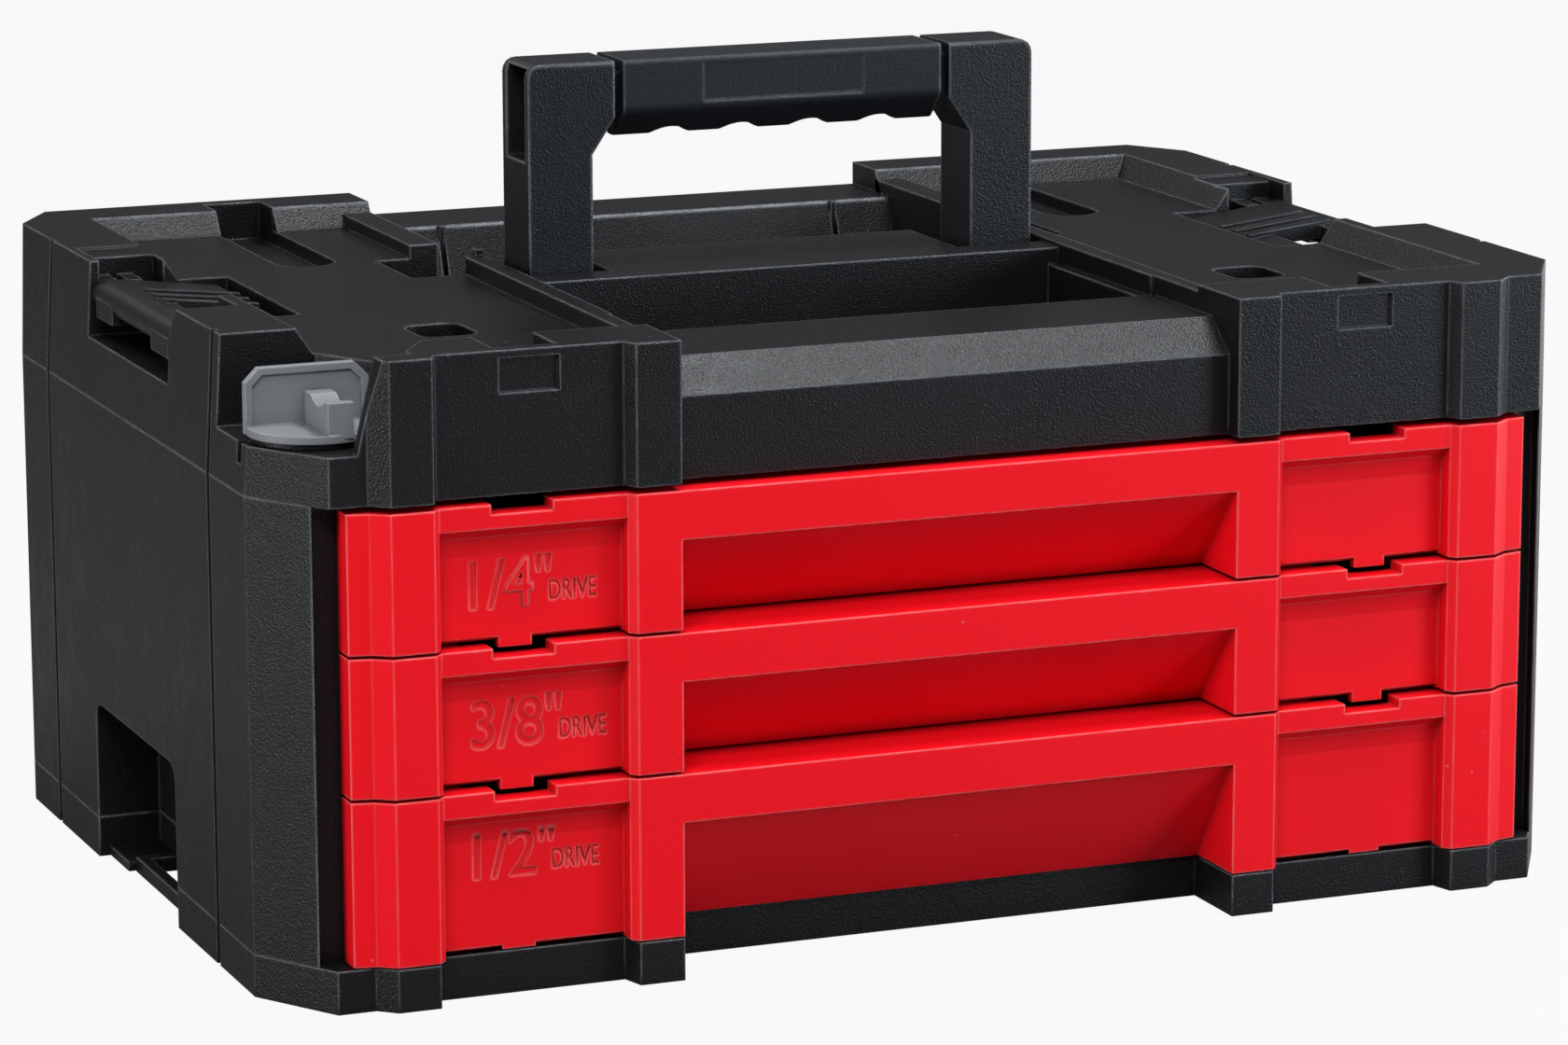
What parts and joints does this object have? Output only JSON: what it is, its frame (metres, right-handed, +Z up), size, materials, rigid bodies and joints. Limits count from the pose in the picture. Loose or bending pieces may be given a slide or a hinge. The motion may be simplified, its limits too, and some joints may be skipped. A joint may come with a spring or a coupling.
{
  "type": "socket organizer drawer box",
  "caption": "Stackable tool box with shallow red pull-out drawers holding lane inserts, a fold-down handle, side latches and a corner lock for the drawers.",
  "frame": {"origin": "middle of the footprint, on the ground", "axes": "+X to the box's right, +Y to its back, +Z up"},
  "size_m": [0.44, 0.317, 0.2635],
  "materials": {
    "red": "satin",
    "dark": "fine grain",
    "black": "satin",
    "grey": "satin",
    "frame": "satin",
    "grip": "soft touch",
    "steel": "zinc plated"
  },
  "bodies": {
    "case": {"base_tray": "dark", "left_side_panel": "dark", "right_side_panel": "dark", "rear_panel": "dark", "left_runner": "black", "right_runner": "black", "top_cover": "dark", "left_handle_pin": "steel", "right_handle_pin": "steel", "left_latch_pin": "steel", "right_latch_pin": "steel", "lock_disc": "black", "base_screws": "steel"},
    "handle": {"handle_frame": "frame", "handle_grip": "grip"},
    "left_latch": {"left_latch": "frame"},
    "right_latch": {"right_latch": "frame"},
    "lock": {"lock_knob": "grey", "lock_shaft": "grey"},
    "bottom_drawer": {"bottom_drawer_front": "red", "bottom_drawer_tray": "black", "bottom_drawer_insert": "black"},
    "middle_drawer": {"middle_drawer_front": "red", "middle_drawer_tray": "black", "middle_drawer_insert": "black"},
    "top_drawer": {"top_drawer_front": "red", "top_drawer_tray": "black", "top_drawer_insert": "black"}
  },
  "joints": [
    {"name": "bottom_drawer_slide", "type": "slide", "parent": "case", "child": "bottom_drawer", "axis": [0, -1, 0], "range_m": [0, 0.21]},
    {"name": "middle_drawer_slide", "type": "slide", "parent": "case", "child": "middle_drawer", "axis": [0, -1, 0], "range_m": [0, 0.21]},
    {"name": "top_drawer_slide", "type": "slide", "parent": "case", "child": "top_drawer", "axis": [0, -1, 0], "range_m": [0, 0.21]},
    {"name": "handle_hinge", "type": "hinge", "parent": "case", "child": "handle", "pos_m": [0, 0.0016, 0.183], "axis": [-1, 0, 0], "range_deg": [0, 90]},
    {"name": "left_latch_hinge", "type": "hinge", "parent": "case", "child": "left_latch", "pos_m": [-0.212, 0.005, 0.188], "axis": [0, -1, 0], "range_deg": [0, 100]},
    {"name": "right_latch_hinge", "type": "hinge", "parent": "case", "child": "right_latch", "pos_m": [0.212, 0.005, 0.188], "axis": [0, 1, 0], "range_deg": [0, 100]},
    {"name": "lock_turn", "type": "hinge", "parent": "case", "child": "lock", "pos_m": [-0.1972, -0.123, 0.1705], "axis": [0, 0, -1], "range_deg": [0, 90]}
  ]
}
